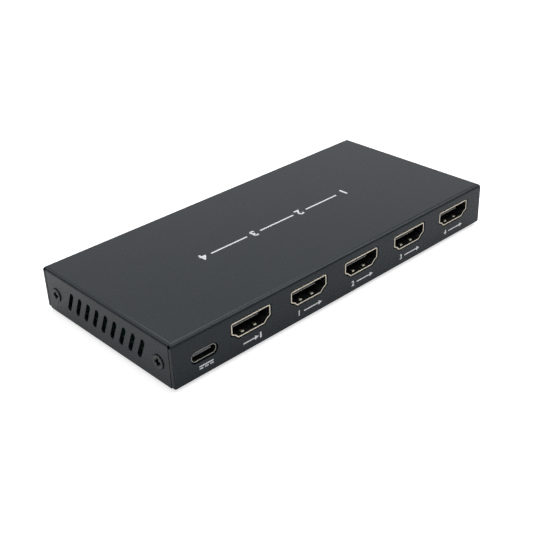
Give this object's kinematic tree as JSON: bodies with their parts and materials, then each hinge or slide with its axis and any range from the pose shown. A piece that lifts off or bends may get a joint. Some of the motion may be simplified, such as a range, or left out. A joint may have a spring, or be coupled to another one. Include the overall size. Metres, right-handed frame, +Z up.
{
  "type": "video signal splitter",
  "caption": "Flat rectangular video signal splitter in a folded black sheet-metal case, with a row of video sockets, a small power socket and slanted end vents.",
  "frame": {"origin": "on the plane the feet stand on, below the middle of the case", "axes": "+X along the row of sockets, from the power socket to the last output; -Y is the side the sockets face; +Z up, out of the top of the cover"},
  "size_m": [0.1362, 0.062, 0.0155],
  "materials": {
    "cover_coat": "fine satin powder coat, near black",
    "tray_coat": "fine satin powder coat, near black",
    "black_screw": "black zinc",
    "socket_shell": "nickel plated, bright",
    "power_shell": "stainless, satin",
    "socket_plastic": "black moulded",
    "contact_gold": "gold plated",
    "board_laminate": "green solder mask",
    "standoff_brass": "turned",
    "steel_screw": "zinc plated",
    "foot_rubber": "matt black",
    "light_lens": "milky light pipe, unlit",
    "light_chip": "small light-emitting chip in a white case",
    "tinned_lead": "tin plated",
    "chip_body": "moulded epoxy",
    "pad_grey": "soft thermal pad",
    "sink_aluminium": "extruded, plain",
    "capacitor_yellow": "moulded block",
    "ferrite": "ferrite",
    "ceramic_tan": "fired ceramic",
    "resistor_black": "glazed",
    "crystal_steel": "nickel lid"
  },
  "bodies": {
    "root": {"top_cover": "cover_coat", "bottom_tray": "tray_coat", "case_screws": "black_screw", "circuit_board": "board_laminate", "board_standoffs": "standoff_brass", "board_screws": "steel_screw", "rubber_feet": "foot_rubber", "input_socket_shell": "socket_shell", "input_socket_insulator": "socket_plastic", "input_socket_contacts": "contact_gold", "output_1_socket_shell": "socket_shell", "output_1_socket_insulator": "socket_plastic", "output_1_socket_contacts": "contact_gold", "output_2_socket_shell": "socket_shell", "output_2_socket_insulator": "socket_plastic", "output_2_socket_contacts": "contact_gold", "output_3_socket_shell": "socket_shell", "output_3_socket_insulator": "socket_plastic", "output_3_socket_contacts": "contact_gold", "output_4_socket_shell": "socket_shell", "output_4_socket_insulator": "socket_plastic", "output_4_socket_contacts": "contact_gold", "power_socket_shell": "power_shell", "power_socket_insulator": "socket_plastic", "power_socket_contacts": "contact_gold", "power_light": "light_lens", "input_light": "light_lens", "output_1_light": "light_lens", "output_2_light": "light_lens", "output_3_light": "light_lens", "output_4_light": "light_lens", "light_chips": "light_chip", "main_chip": "chip_body", "thermal_pad": "pad_grey", "heat_sink": "sink_aluminium", "control_chip": "chip_body", "memory_chip": "chip_body", "voltage_regulator": "chip_body", "chip_leads": "tinned_lead", "crystal": "crystal_steel", "power_inductors": "ferrite", "bulk_capacitors": "capacitor_yellow", "capacitor_terminals": "tinned_lead", "surge_arrays": "chip_body", "resistor_arrays": "resistor_black", "ceramic_capacitors": "ceramic_tan"}
  },
  "joints": []
}
